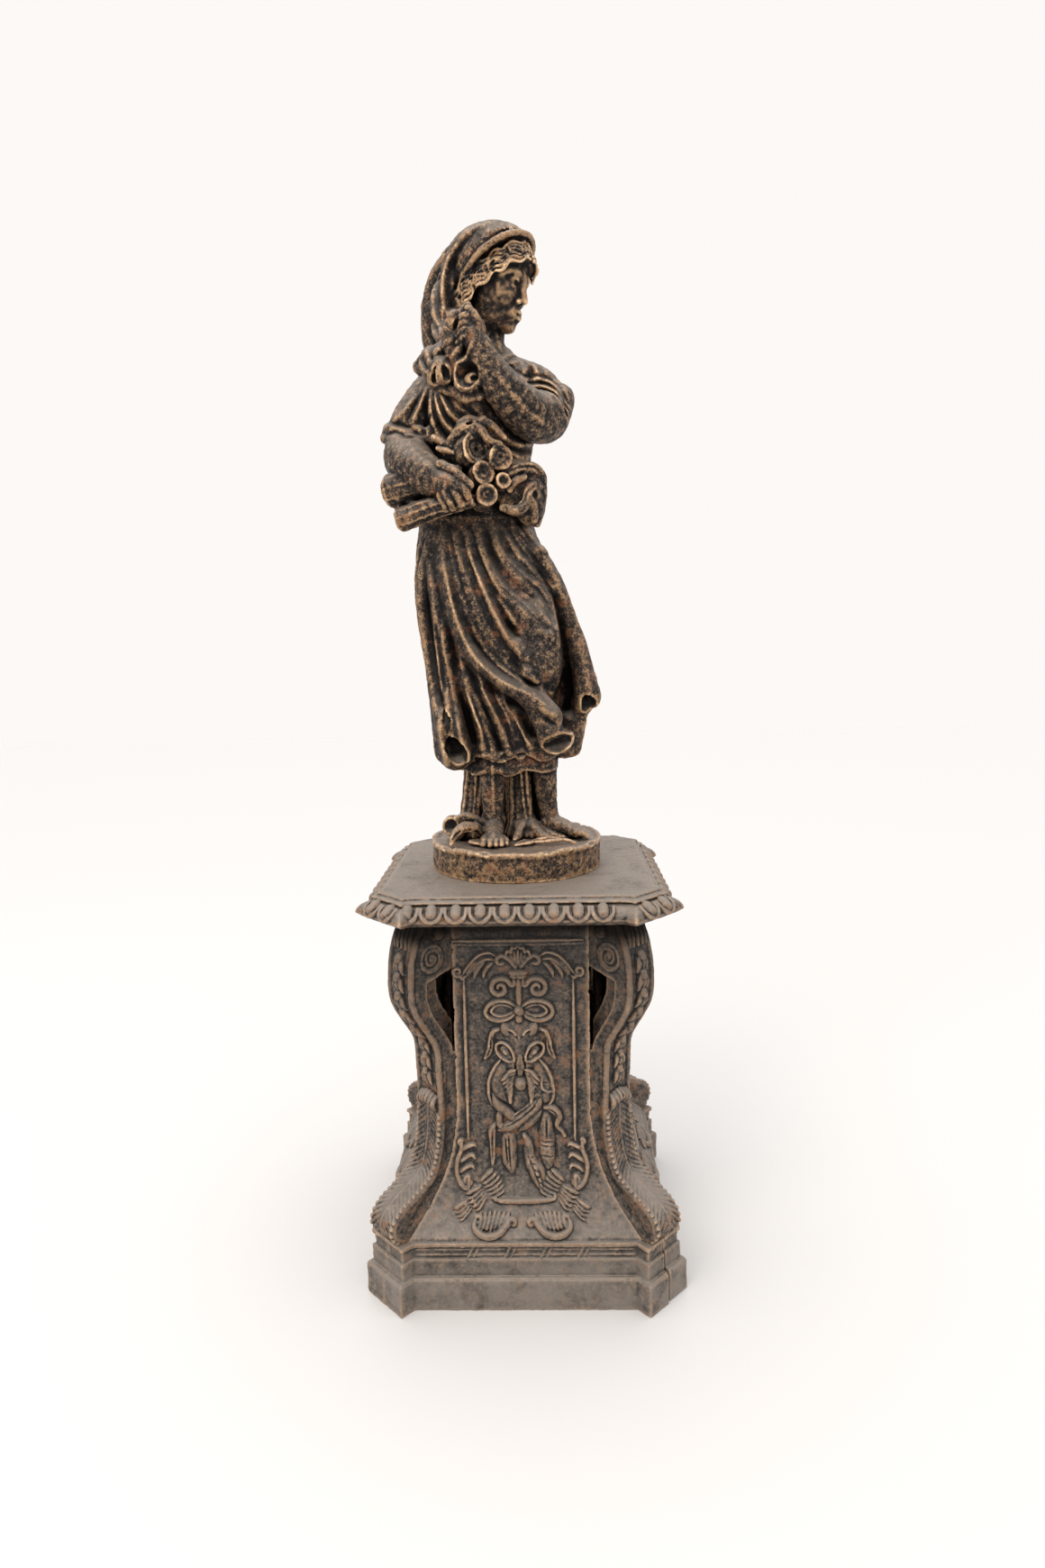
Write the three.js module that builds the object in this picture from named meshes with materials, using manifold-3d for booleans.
// A cast iron garden figure on a square pedestal with cut corners.
// Millimetres, +Z up, the figure looks towards -Y, origin at the centre of the underside.
import * as THREE from "three";
import { LoftGeometry } from "three/addons/geometries/LoftGeometry.js";
import { mergeVertices } from "three/addons/utils/BufferGeometryUtils.js";
import Module from "manifold-3d";

const wasm = await Module();
wasm.setup();

// ---------- driving dimensions ----------
const GAP = 0.3; // clearance between pieces that touch
const WALL = 12; // casting thickness of the pedestal

// A level of the pedestal's plan: the flat face's distance from the middle, the cut corner's
// distance along the diagonal, and half the cut corner's width.
const LOWER_STEP = { face: 241.6, corner: 322.5, half: 45.8 };
const UPPER_STEP = { face: 233.8, corner: 313.5, half: 40.3 };
const LOWER_TOP = 55;
const UPPER_TOP = 111;
const BAND_LOW = 84; // the sunk band round the upper step
const BAND_HIGH = 105;
const BAND_DEPTH = 3.5;
const LEDGE = { face: 195, corner: 262, half: 26 }; // inner edge of the upper step's top plate

const PANEL_FACE = 153; // the upright panel's distance from the middle
const PANEL_THICK = 10;
const PANEL_TUCK = 6; // how far the panel reaches down into the step's top plate
const PLATE_LOW = 5; // how far the top plate reaches down beside the sunk band
const FLARE_TOP = 330; // where the panel starts to sweep outwards
const FLARE_OUT = 79;
const FLARE_POWER = 2.8;
const FLARE_STEPS = 7;

const CAP_LOW = 628;
const CAP_TOP = 671;
const BRACKET_HALF = 30; // half the bracket's width across the diagonal
const STRAP = 30; // thickness of the bracket's free S-shaped stretch

const DISC_X = -7; // the figure's round plinth
const DISC_RADIUS = 144;
const DISC_TOP = 719;
const HEM = 848;
const WAIST = 1232;
const FLUTES = 7; // folds round the skirt

const R2 = Math.SQRT2;
const TAU = 2 * Math.PI;
const v3 = (x, y, z) => new THREE.Vector3(x, y, z);

// ---------- solids: closed geometries joined and cut ----------
function solid(geometry) {
  const bare = new THREE.BufferGeometry();
  bare.setAttribute("position", geometry.getAttribute("position"));
  bare.setIndex(geometry.index);
  const merged = mergeVertices(bare, 1e-4);
  return new wasm.Manifold(
    new wasm.Mesh({
      numProp: 3,
      vertProperties: new Float32Array(merged.attributes.position.array),
      triVerts: new Uint32Array(merged.index.array),
    }),
  );
}

function join(geometries) {
  return geometries.map(solid).reduce((whole, piece) => whole.add(piece));
}

function geometryOf(made) {
  const mesh = made.getMesh();
  const positions = new Float32Array(mesh.numVert * 3);
  for (let i = 0; i < mesh.numVert; i++) {
    positions.set(mesh.vertProperties.subarray(i * mesh.numProp, i * mesh.numProp + 3), i * 3);
  }
  const geometry = new THREE.BufferGeometry();
  geometry.setAttribute("position", new THREE.BufferAttribute(positions, 3));
  geometry.setIndex(new THREE.BufferAttribute(mesh.triVerts, 1));
  geometry.computeVertexNormals();
  return geometry;
}

// A skin over closed sections, wound so that its faces point outwards.
function loft(sections) {
  const middle = (ring) => ring.reduce((sum, p) => sum.add(p), v3(0, 0, 0)).divideScalar(ring.length);
  const centre = middle(sections[0]);
  const onwards = middle(sections[1]).sub(centre);
  const winding = v3(0, 0, 0);
  sections[0].forEach((p, k, ring) => {
    const next = ring[(k + 1) % ring.length].clone().sub(centre);
    winding.add(p.clone().sub(centre).cross(next));
  });
  const rings = winding.dot(onwards) > 0 ? sections : sections.map((ring) => [...ring].reverse());
  return new LoftGeometry(rings, { capStart: true, capEnd: true });
}

// A flat outline, given as [x, y] pairs, raised from one height to another.
function slab(outline, low, high) {
  const shape = new THREE.Shape(outline.map(([x, y]) => new THREE.Vector2(x, y)));
  const geometry = new THREE.ExtrudeGeometry(shape, { depth: high - low, bevelEnabled: false });
  return geometry.translate(0, 0, low);
}

// An egg shape: half sizes along its own axes, turned, then moved to a place.
function egg(place, size, turn = [0, 0, 0], round = 9) {
  const geometry = new THREE.SphereGeometry(1, round, Math.max(3, Math.round(round * 0.6)));
  geometry.scale(...size);
  geometry.applyMatrix4(new THREE.Matrix4().makeRotationFromEuler(new THREE.Euler(...turn)));
  return geometry.translate(...place);
}

// A small pointed boss with eight facets, for carving that repeats many times.
function boss(place, size, turn = [0, 0, 0]) {
  const geometry = new THREE.OctahedronGeometry(1, 0);
  geometry.scale(...size);
  geometry.applyMatrix4(new THREE.Matrix4().makeRotationFromEuler(new THREE.Euler(...turn)));
  return geometry.translate(...place);
}

// A limb or roll: rings of the stated radii along a smooth curve, with rounded ends.
function limb(points, radii, round) {
  const curve = new THREE.CatmullRomCurve3(points.map((p) => v3(...p)), false, "centripetal");
  const count = points.length - 1;
  const frames = curve.computeFrenetFrames(count, false);
  const rings = [];
  const ring = (centre, normal, binormal, radius) => {
    const section = [];
    for (let k = 0; k < round; k++) {
      const angle = (TAU * k) / round;
      const out = normal.clone().multiplyScalar(Math.cos(angle) * radius);
      section.push(out.addScaledVector(binormal, Math.sin(angle) * radius).add(centre));
    }
    return section;
  };
  const place = (i) => ({ centre: curve.getPoint(i / count), radius: radii[i] });
  const CAP = 0.45; // how far a rounded end stands out, in radii
  const CAP_SIZE = 0.55; // and how wide its last ring is
  const first = place(0);
  const start = first.centre.clone().addScaledVector(frames.tangents[0], -CAP * first.radius);
  rings.push(ring(start, frames.normals[0], frames.binormals[0], first.radius * CAP_SIZE));
  for (let i = 0; i <= count; i++) {
    const { centre, radius } = place(i);
    rings.push(ring(centre, frames.normals[i], frames.binormals[i], radius));
  }
  const last = place(count);
  const end = last.centre.clone().addScaledVector(frames.tangents[count], CAP * last.radius);
  rings.push(ring(end, frames.normals[count], frames.binormals[count], last.radius * CAP_SIZE));
  return loft(rings);
}

// Values between the rows of a table that is ordered by its first column.
function between(table, at) {
  let i = 0;
  while (i < table.length - 2 && at > table[i + 1][0]) i++;
  const share = THREE.MathUtils.clamp((at - table[i][0]) / (table[i + 1][0] - table[i][0]), 0, 1);
  const soft = share * share * (3 - 2 * share);
  return table[i].map((value, k) => value + (table[i + 1][k] - value) * (k ? soft : share));
}

// ---------- pedestal ----------
// One side's outline at a level, from the middle of one cut corner to the middle of the next.
function sideOutline({ face, corner, half }, trim) {
  const middle = corner / R2 - trim / R2;
  const vertexX = (corner - half) / R2;
  const vertexY = (corner + half) / R2;
  const returnX = face - R2 * half;
  return [
    [-middle, -corner / R2 - trim / R2],
    [-vertexX, -vertexY],
    [-returnX, -face],
    [returnX, -face],
    [vertexX, -vertexY],
    [middle, -corner / R2 - trim / R2],
  ];
}

function inward({ face, corner, half }, by) {
  return { face: face - by, corner: corner - by, half: half - by };
}

function stepRing(level, inner, low, high) {
  const outline = sideOutline(level, GAP / 2);
  return slab([...outline, ...sideOutline(inner, GAP / 2).reverse()], low, high);
}

function flareFace(z) {
  const share = Math.max(0, (FLARE_TOP - z) / (FLARE_TOP - UPPER_TOP));
  return PANEL_FACE + FLARE_OUT * share ** FLARE_POWER;
}

// The wedge between the two brackets, where the panel and its skirt may stand.
function betweenBrackets(low, high) {
  const offset = (BRACKET_HALF + GAP) * R2;
  const deep = UPPER_STEP.face;
  return slab([[0, -offset], [deep - offset, -deep], [offset - deep, -deep]], low, high);
}

function sideCasting() {
  const inner = inward(UPPER_STEP, WALL);
  const steps = join([
    stepRing(LOWER_STEP, inner, 0, LOWER_TOP),
    stepRing(UPPER_STEP, inner, LOWER_TOP, BAND_LOW),
    stepRing(inward(UPPER_STEP, BAND_DEPTH), inner, BAND_LOW, BAND_HIGH),
    stepRing(UPPER_STEP, LEDGE, BAND_HIGH - PLATE_LOW, UPPER_TOP),
  ]);
  const profile = [];
  for (let i = 0; i <= FLARE_STEPS; i++) {
    const z = UPPER_TOP - PANEL_TUCK + ((FLARE_TOP - UPPER_TOP + PANEL_TUCK) * i) / FLARE_STEPS;
    profile.push([flareFace(Math.max(z, UPPER_TOP)), z]);
  }
  profile.push([PANEL_FACE, CAP_LOW - GAP]);
  const back = profile.map(([y, z]) => [y - PANEL_THICK, z]).reverse();
  const plate = slab([...profile, ...back], -UPPER_STEP.face, UPPER_STEP.face);
  // The profile is drawn as (distance outwards, height): stand it up, facing -Y.
  plate.applyMatrix4(new THREE.Matrix4().makeBasis(v3(0, -1, 0), v3(0, 0, 1), v3(-1, 0, 0)));
  const panel = solid(plate).intersect(solid(betweenBrackets(UPPER_TOP - PANEL_TUCK, CAP_LOW)));
  return steps.add(panel);
}

// The bracket's outer edge: distance along the diagonal against height, from the cap down.
const BRACKET_OUTER = [
  [236, CAP_LOW - GAP], [245, 612], [254, 594], [261, 572], [265, 548], [266.5, 524],
  [266, 503], [261, 484], [250, 463], [237, 442], [226, 424], [220, 408], [218, 370],
  [216, 299], [219, 256], [226, 223], [238, 198], [259, 184], [285, 171.5], [304, 161], [315, 149],
  [319, 136], [313, 123], [298, UPPER_TOP + GAP],
];
const GAP_TOP = 527; // the open scroll behind the strap
const GAP_LOW = 405;
const BRACKET_BACK = PANEL_FACE * R2 - BRACKET_HALF; // the corner edge of two panels
const WEB_HALF = 7; // half the thickness of the web that partly closes the open scroll
const WEB_REACH = 36; // how far the web stands in from the strap

const FOOT_STEPS = 5;
const SCROLL = { out: 226, z: 562, radius: 23, proud: 3 };
const HUSKS = 4;
const LEAF_ROWS = 2;

function bracket() {
  const outer = BRACKET_OUTER.map(([s, z]) => new THREE.Vector2(s, z));
  const strapInner = outer
    .filter((p) => p.y < GAP_TOP + 1 && p.y > GAP_LOW)
    .map((p) => [p.x - STRAP, p.y - 4])
    .reverse();
  const foot = [];
  for (let i = 0; i <= FOOT_STEPS; i++) {
    const z = UPPER_TOP + GAP + ((FLARE_TOP - UPPER_TOP) * i) / FOOT_STEPS;
    foot.push([flareFace(z) * R2 - BRACKET_HALF - PANEL_THICK * R2, z]);
  }
  const outline = [
    ...BRACKET_OUTER,
    ...foot,
    [BRACKET_BACK, GAP_LOW - 12],
    ...strapInner,
    [BRACKET_BACK + 8, GAP_TOP + 8],
    [BRACKET_BACK, GAP_TOP + 12],
    [BRACKET_BACK, CAP_LOW - GAP],
  ];
  const webOuter = strapInner.map(([s, z]) => [s + 2, z]);
  const webInner = strapInner.map(([s, z]) => [Math.max(s - WEB_REACH, BRACKET_BACK), z]).reverse();
  const pieces = [
    slab(outline.reverse(), -BRACKET_HALF, BRACKET_HALF),
    slab([...webOuter, ...webInner], -WEB_HALF, WEB_HALF),
  ];
  // A scroll boss that stands a little proud of both flanks.
  const length = 2 * (BRACKET_HALF + SCROLL.proud);
  const scroll = new THREE.CylinderGeometry(SCROLL.radius, SCROLL.radius, length, 10);
  pieces.push(scroll.rotateX(Math.PI / 2).translate(SCROLL.out, SCROLL.z, 0));
  // A chain of husks down the outer face, and an acanthus leaf over the foot.
  const edge = new THREE.SplineCurve(outer.slice(1));
  for (let i = 0; i < HUSKS; i++) {
    const at = edge.getPointAt(0.05 + (0.5 * i) / (HUSKS - 1));
    const along = edge.getTangentAt(0.05 + (0.5 * i) / (HUSKS - 1));
    pieces.push(boss([at.x, at.y, 0], [17, 9, 16 - i], [0, 0, Math.atan2(along.y, along.x)]));
  }
  const leaf = [];
  for (let i = 0; i <= LEAF_ROWS; i++) {
    const share = i / LEAF_ROWS;
    const at = edge.getPointAt(0.62 + 0.34 * share);
    const along = edge.getTangentAt(0.62 + 0.34 * share);
    const wide = 8 + 17 * Math.sin(Math.PI * Math.min(1, 0.15 + share * 0.8));
    const out = v3(-along.y, along.x, 0);
    const centre = v3(at.x, at.y, 0);
    leaf.push([
      centre.clone().addScaledVector(out, -5).add(v3(0, 0, -wide)),
      centre.clone().addScaledVector(out, -5).add(v3(0, 0, wide)),
      centre.clone().addScaledVector(out, 4).add(v3(0, 0, wide * 0.8)),
      centre.clone().addScaledVector(out, 8),
      centre.clone().addScaledVector(out, 4).add(v3(0, 0, -wide * 0.8)),
    ]);
  }
  pieces.push(loft(leaf));
  // Drawn in (outwards, up): turn it so that outwards is the front left diagonal.
  const upright = new THREE.Matrix4().makeBasis(
    v3(-1 / R2, -1 / R2, 0),
    v3(0, 0, 1),
    v3(-1 / R2, 1 / R2, 0),
  );
  return join(pieces.map((piece) => piece.applyMatrix4(upright)));
}

// The whole plan of a level, all four cut corners.
function plan({ face, corner, half }, z) {
  const ring = [];
  for (let quarter = 0; quarter < 4; quarter++) {
    const turn = new THREE.Matrix4().makeRotationZ((quarter * Math.PI) / 2);
    for (const [x, y] of sideOutline({ face, corner, half }, 0).slice(1, 5)) {
      ring.push(v3(x, y, z).applyMatrix4(turn));
    }
  }
  return ring;
}

const CAP_LEVELS = [
  [CAP_LOW, { face: 226, corner: 290, half: 50 }],
  [CAP_LOW + 7, { face: 236, corner: 301, half: 55 }],
  [CAP_LOW + 10, { face: 240, corner: 305.2, half: 57.8 }],
  [CAP_LOW + 23, { face: 233, corner: 299, half: 51.5 }],
  [CAP_LOW + 30, { face: 217, corner: 287, half: 36 }],
  [CAP_TOP, { face: 212, corner: 283, half: 31.8 }],
];
const CAP_HOLLOW = 138;
const EGGS = 8;
const EGG_PITCH = 36.7;
const CORNER_EGGS = 2;
const EGG_Z = CAP_LOW + 19;
const EGG_SIZE = [11, 10, 11];
const EGG_TILT = [0.9, 0, 0];

function cap() {
  const pieces = [loft(CAP_LEVELS.map(([z, level]) => plan(level, z)))];
  for (let quarter = 0; quarter < 4; quarter++) {
    const turn = (quarter * Math.PI) / 2;
    for (let i = 0; i < EGGS; i++) {
      const along = EGG_PITCH * (i - (EGGS - 1) / 2);
      pieces.push(boss([along, -234, EGG_Z], EGG_SIZE, EGG_TILT).rotateZ(turn));
    }
    for (let i = 0; i < CORNER_EGGS; i++) {
      const along = EGG_PITCH * (i - 0.5);
      const corner = boss([along, -299, EGG_Z], EGG_SIZE, EGG_TILT);
      pieces.push(corner.rotateZ(turn + Math.PI / 4));
    }
  }
  const hollow = slab(
    [[-1, -1], [1, -1], [1, 1], [-1, 1]].map(([x, y]) => [x * CAP_HOLLOW, y * CAP_HOLLOW]),
    CAP_LOW - 1,
    CAP_TOP - WALL,
  );
  return join(pieces).subtract(solid(hollow));
}

// ---------- figure ----------
// Body sections: height, centre x, centre y, half width, half depth, depth of the folds.
const SKIRT = [
  [HEM, -21, -2, 102, 80, 13],
  [885, -21, -2, 106, 82, 12],
  [950, -30, -3, 109, 86, 11],
  [1030, -37, -6, 117, 90, 9],
  [1095, -42, -8, 120, 92, 8],
  [1150, -50, -6, 114, 86, 6],
  [1200, -58, -2, 104, 76, 4],
  [WAIST, -62, 0, 96, 68, 2],
];
const TORSO = [
  [WAIST - 6, -62, 0, 95, 68],
  [1290, -62, -2, 86, 66],
  [1345, -58, -9, 92, 74],
  [1400, -52, -14, 99, 82],
  [1445, -47, -6, 102, 74],
  [1478, -45, 4, 92, 58],
  [1500, -44, 6, 56, 44],
  [1520, -46, 4, 28, 32],
];
const SKIRT_ROUND = 28;
const SKIRT_LEVELS = 5;
const SKIRT_TWIST = 0.9; // how far the folds swing round from waist to hem, in radians

function skirt() {
  const sections = [];
  for (let i = 0; i <= SKIRT_LEVELS; i++) {
    const z = HEM + ((WAIST - HEM) * i) / SKIRT_LEVELS;
    const [, x, y, wide, deep, fold] = between(SKIRT, z);
    const section = [];
    for (let k = 0; k < SKIRT_ROUND; k++) {
      const angle = (TAU * k) / SKIRT_ROUND;
      const swing = SKIRT_TWIST * (1 - i / SKIRT_LEVELS);
      const wave = fold * Math.cos(FLUTES * (angle - swing));
      section.push(v3(x + (wide + wave) * Math.cos(angle), y + (deep + wave) * Math.sin(angle), z));
    }
    sections.push(section);
  }
  return loft(sections);
}

function torso() {
  const ROUND = 12;
  return loft(
    TORSO.map(([z, x, y, wide, deep]) => {
      const section = [];
      for (let k = 0; k < ROUND; k++) {
        const angle = (TAU * k) / ROUND;
        section.push(v3(x + wide * Math.cos(angle), y + deep * Math.sin(angle), z));
      }
      return section;
    }),
  );
}

// The head nods a little and is turned well round to the figure's left.
const HEAD = [-28, -14, 1604];
const HEAD_NOD = 0.26; // radians
const HEAD_TURN = 1.08;

function head() {
  const pieces = [
    egg([0, -18, -14], [40, 40, 52], [0.1, 0, 0], 8), // face and jaw
    egg([0, -56, -6], [7, 11, 20], [-0.35, 0, 0], 5), // nose
    egg([0, -46, -54], [13, 12, 12], [0, 0, 0], 6), // chin
    egg([0, 14, 29], [62, 62, 63], [0, 0, 0], 9), // the veil drawn over the crown
    limb([[0, -10, -44], [0, 4, -66]], [24, 28], 7), // throat
  ];
  const LOCKS = 3; // waves of hair on each side of the face
  for (const side of [-1, 1]) {
    for (let i = 0; i < LOCKS; i++) {
      const angle = 0.3 + 0.6 * i;
      const place = [side * (14 + 33 * Math.sin(angle)), -46 + 26 * i, 42 - 27 * i];
      pieces.push(egg(place, [16, 18, 17], [0, 0, 0], 5));
    }
  }
  return pieces.map((piece) => {
    const turned = piece.rotateX(HEAD_NOD).rotateZ(HEAD_TURN);
    return turned.translate(...HEAD);
  });
}

// The neck, and the veil as it falls from the crown over the back and the right shoulder.
function veil() {
  return [
    limb([[-36, 2, 1570], [-40, 2, 1490]], [29, 38], 8),
    limb(
      [[-46, 4, 1652], [-72, 18, 1626], [-96, 20, 1575], [-92, 14, 1520], [-86, 22, 1468]],
      [34, 44, 41, 42, 38],
      7,
    ),
    limb([[-48, 44, 1614], [-60, 58, 1540], [-58, 56, 1420]], [32, 34, 26], 8),
    limb([[-88, -30, 1630], [-98, -42, 1580], [-98, -56, 1530], [-74, -96, 1500]], [14, 17, 19, 17], 6),
  ];
}

// Arms: shoulder, elbow, wrist, then the hand with its fingers.
function arms() {
  const LEFT_WRIST = [-40, -130, 1474];
  const RIGHT_WRIST = [-100, -124, 1286];
  return [
    limb(
      [[16, 8, 1463], [50, -6, 1428], [56, -38, 1394], [22, -92, 1396], [-14, -118, 1430], LEFT_WRIST],
      [35, 37, 37, 34, 27, 19],
      7,
    ),
    limb(
      [[-112, 8, 1466], [-146, -8, 1410], [-166, -36, 1352], [-150, -80, 1322], RIGHT_WRIST],
      [34, 41, 38, 34, 20],
      7,
    ),
    limb([[-112, -54, 1366], [-152, -52, 1368], [-188, -26, 1374], [-190, 8, 1379]], [8, 9, 9, 8], 5),
    ...hand(LEFT_WRIST, [-54, -130, 1508], [18, 2, 0]),
    ...hand(RIGHT_WRIST, [-78, -143, 1276], [6, -8, 18]),
  ];
}

// A palm between two points, with four curled fingers spread along the third vector.
function hand(wrist, knuckles, spread) {
  const from = v3(...wrist);
  const to = v3(...knuckles);
  const across = v3(...spread);
  const pieces = [limb([wrist, knuckles], [19, 18], 6)];
  for (let i = 0; i < 4; i++) {
    const root = to.clone().addScaledVector(across, (i - 1.5) * 0.55);
    const tip = root.clone().addScaledVector(to.clone().sub(from), 0.45).add(v3(0, -5, -4));
    const middle = root.clone().add(tip).multiplyScalar(0.5);
    pieces.push(egg(middle.toArray(), [8, 9, 13], [0.3, 0, across.x > across.z ? 0 : 1.2], 4));
  }
  return pieces;
}

// The cloth gathered in the raised hand, with its rolled ends turned down.
function gatheredCloth() {
  const ROLLS = [
    [[-52, -112, 1508], [-86, -90, 1466], 22],
    [[-86, -84, 1486], [-134, -52, 1475], 18],
    [[-120, -62, 1488], [-112, -92, 1448], 14],
    [[-96, -90, 1486], [-98, -112, 1448], 14],
    [[-74, -104, 1486], [-61, -117, 1440], 20],
  ];
  return ROLLS.map(([from, to, radius]) => limb([from, to], [radius, radius], 6));
}

// Cut firewood held under the forearm: billets across the waist, and sawn ends that face forwards.
function firewood() {
  const BILLETS = [
    [[-192, -76, 1284], [-74, -112, 1298], 23],
    [[-174, -94, 1238], [-60, -126, 1265], 16],
    [[-182, -44, 1260], [-70, -88, 1274], 15],
    [[-78, -94, 1329], [-54, -121, 1334], 26],
    [[-33, -88, 1318], [-16, -122, 1322], 18.5],
    [[-62, -96, 1295], [-42, -128, 1300], 17.5],
    [[-47, -94, 1266], [-37, -130, 1268], 16],
    [[-24, -88, 1289], [-12, -124, 1289], 11],
  ];
  return [
    egg([-86, -56, 1292], [72, 44, 36], [0, 0, 0], 7),
    ...BILLETS.map(([from, to, radius]) => limb([from, to], [radius, radius], 6)),
  ];
}

// The sash knotted on the left hip, and its two loose bands.
function sash() {
  return [
    egg([8, -74, 1290], [38, 28, 40], [0, 0, 0], 6),
    egg([26, -56, 1266], [24, 26, 36], [0, 0, 0], 6),
    limb([[-14, -111, 1294], [6, -110, 1306], [30, -94, 1312], [46, -64, 1294]], [7, 8, 9, 8], 5),
    limb([[-10, -112, 1252], [18, -107, 1256], [34, -88, 1285], [43, -66, 1290]], [7, 8, 7, 6], 5),
  ];
}

// The falls of the overskirt that stand clear of the body.
function overskirt() {
  return [
    limb(
      [[-132, -30, 1110], [-128, -40, 1040], [-120, -50, 980], [-108, -60, 925], [-101, -60, 878]],
      [8, 12, 16, 23, 29],
      7,
    ),
    limb([[-60, -84, 1030], [-20, -88, 992], [24, -92, 960], [60, -90, 905]], [10, 14, 19, 29], 7),
    limb([[40, -44, 1190], [70, -38, 1118], [90, -34, 1056], [109, -37, 962]], [9, 12, 14, 22], 6),
    limb([[84, 0, 1080], [94, -4, 1000], [94, -8, 930], [84, -16, 878]], [16, 20, 20, 18], 6),
  ];
}

function legs() {
  return [
    limb([[-42, -40, 900], [-44, -38, 800], [-44, -44, 744]], [25, 19.5, 17], 7), // forward shin
    limb([[-44, -34, 738], [-43, -62, 738], [-41, -96, DISC_TOP + 8]], [15, 16, 9], 6), // its foot
    limb([[36, -4, 900], [46, -8, 790], [52, -12, 746]], [25, 18, 16], 7), // rear shin
    limb([[48, -8, 740], [74, -21, 738], [106, -40, DISC_TOP + 8]], [16, 15, 8], 6), // its foot
  ];
}

// The cut trunks that carry the skirt behind the legs, their roots, and a curl of bark on the right.
function stump() {
  const ROOTS = DISC_TOP + 3;
  return [
    limb([[0, 4, 900], [4, 0, 790], [6, -4, 750], [8, -8, ROOTS]], [22, 22, 24, 32], 7),
    limb([[-66, 20, 890], [-78, 6, 790], [-84, -4, 750], [-88, -8, ROOTS]], [24, 21, 20, 24], 6),
    limb([[-20, 34, 890], [-22, 32, 800], [-24, 28, ROOTS]], [20, 19, 26], 6),
    limb([[27, 16, 880], [29, 14, 800], [32, 10, ROOTS]], [16, 15, 20], 6),
    limb([[24, -12, 744], [48, -26, 729], [72, -37, ROOTS]], [10, 7, 5], 5),
    limb([[-62, -58, 736], [-74, -68, 748], [-92, -78, 750], [-109, -90, ROOTS]], [8, 9, 9, 5], 5),
    limb([[-66, -50, 752], [-84, -58, 763], [-102, -58, 762]], [8, 8, 6], 5),
    egg([-112, -34, 744], [19, 15, 21], [0, 0, 0], 6),
  ];
}

function plinthDisc() {
  const profile = [
    [0, CAP_TOP + GAP],
    [DISC_RADIUS, CAP_TOP + GAP],
    [DISC_RADIUS - 1, DISC_TOP - 9],
    [DISC_RADIUS - 8, DISC_TOP - 1],
    [DISC_RADIUS - 30, DISC_TOP + 2],
    [0, DISC_TOP + 2],
  ];
  const turned = new THREE.LatheGeometry(profile.map(([x, y]) => new THREE.Vector2(x, y)), 20);
  return turned.rotateX(Math.PI / 2).translate(DISC_X, 0, 0);
}

// Pockets closed in between limbs and cloth are metal too: keep the outer skin alone.
function filled(made) {
  return made.decompose().reduce((most, body) => (body.volume() > most.volume() ? body : most));
}

function statue() {
  return filled(join([
    plinthDisc(),
    ...stump(),
    ...legs(),
    skirt(),
    ...overskirt(),
    torso(),
    ...sash(),
    ...firewood(),
    ...arms(),
    ...gatheredCloth(),
    ...head(),
    ...veil(),
  ]));
}

// ---------- the scene graph ----------
const bronzedIron = () =>
  new THREE.MeshStandardMaterial({ color: 0x4a382a, roughness: 0.6, metalness: 0.6 });
const weatheredIron = () =>
  new THREE.MeshStandardMaterial({ color: 0x55493f, roughness: 0.75, metalness: 0.45 });

const garden = new THREE.Group();
function put(name, made, material, turn = 0) {
  const mesh = new THREE.Mesh(geometryOf(made), material);
  mesh.name = name;
  mesh.rotation.z = turn;
  garden.add(mesh);
}

put("statue", statue(), bronzedIron());
put("cap", cap(), weatheredIron());
["front", "right", "back", "left"].forEach((name, quarter) => {
  put("side_" + name, sideCasting(), weatheredIron(), (quarter * Math.PI) / 2);
});
["front_left", "front_right", "back_right", "back_left"].forEach((name, quarter) => {
  put("bracket_" + name, bracket(), weatheredIron(), (quarter * Math.PI) / 2);
});

export default garden;
